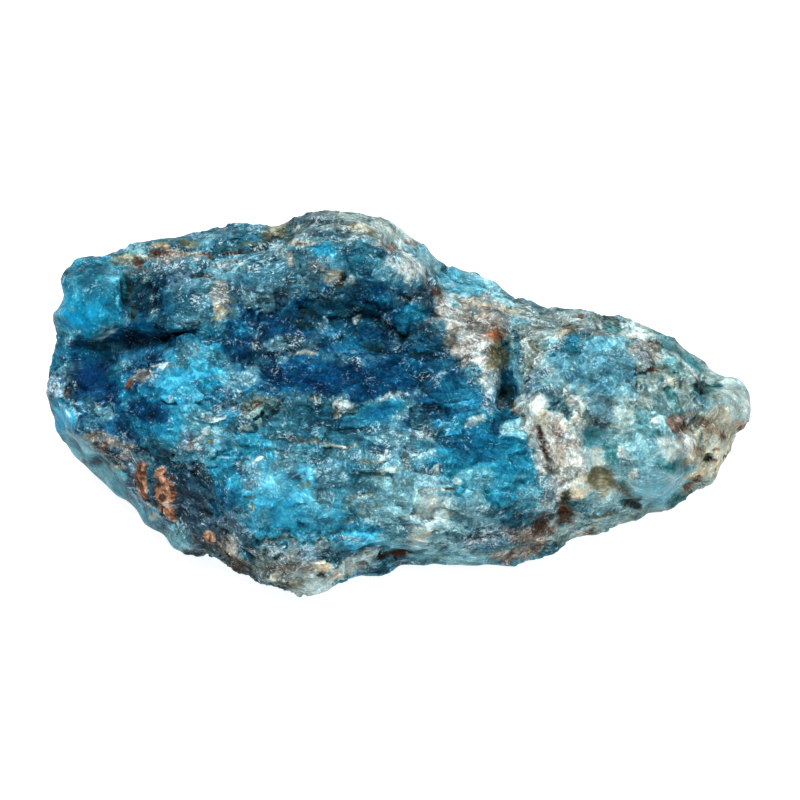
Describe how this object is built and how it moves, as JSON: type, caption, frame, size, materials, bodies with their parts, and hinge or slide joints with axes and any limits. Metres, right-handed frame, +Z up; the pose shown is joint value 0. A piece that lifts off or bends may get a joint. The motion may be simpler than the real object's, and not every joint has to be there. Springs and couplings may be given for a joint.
{
  "type": "rough apatite",
  "caption": "Rough blue apatite, a broken natural lump with ledges, a dark hollow, a narrow slit and a pale seam, resting on a small flat.",
  "frame": {"origin": "on the resting flat of the underside, below the middle of the stone's length and depth", "axes": "+X along the length towards the tapered end, +Y from the broad face towards the back, +Z up from the resting flat"},
  "size_m": [0.0601, 0.0307, 0.0224],
  "materials": {
    "apatite": "rough broken apatite, deep blue to cyan with pale and rusty matrix, glassy on small faces"
  },
  "bodies": {
    "root": {"apatite": "apatite"}
  },
  "joints": []
}
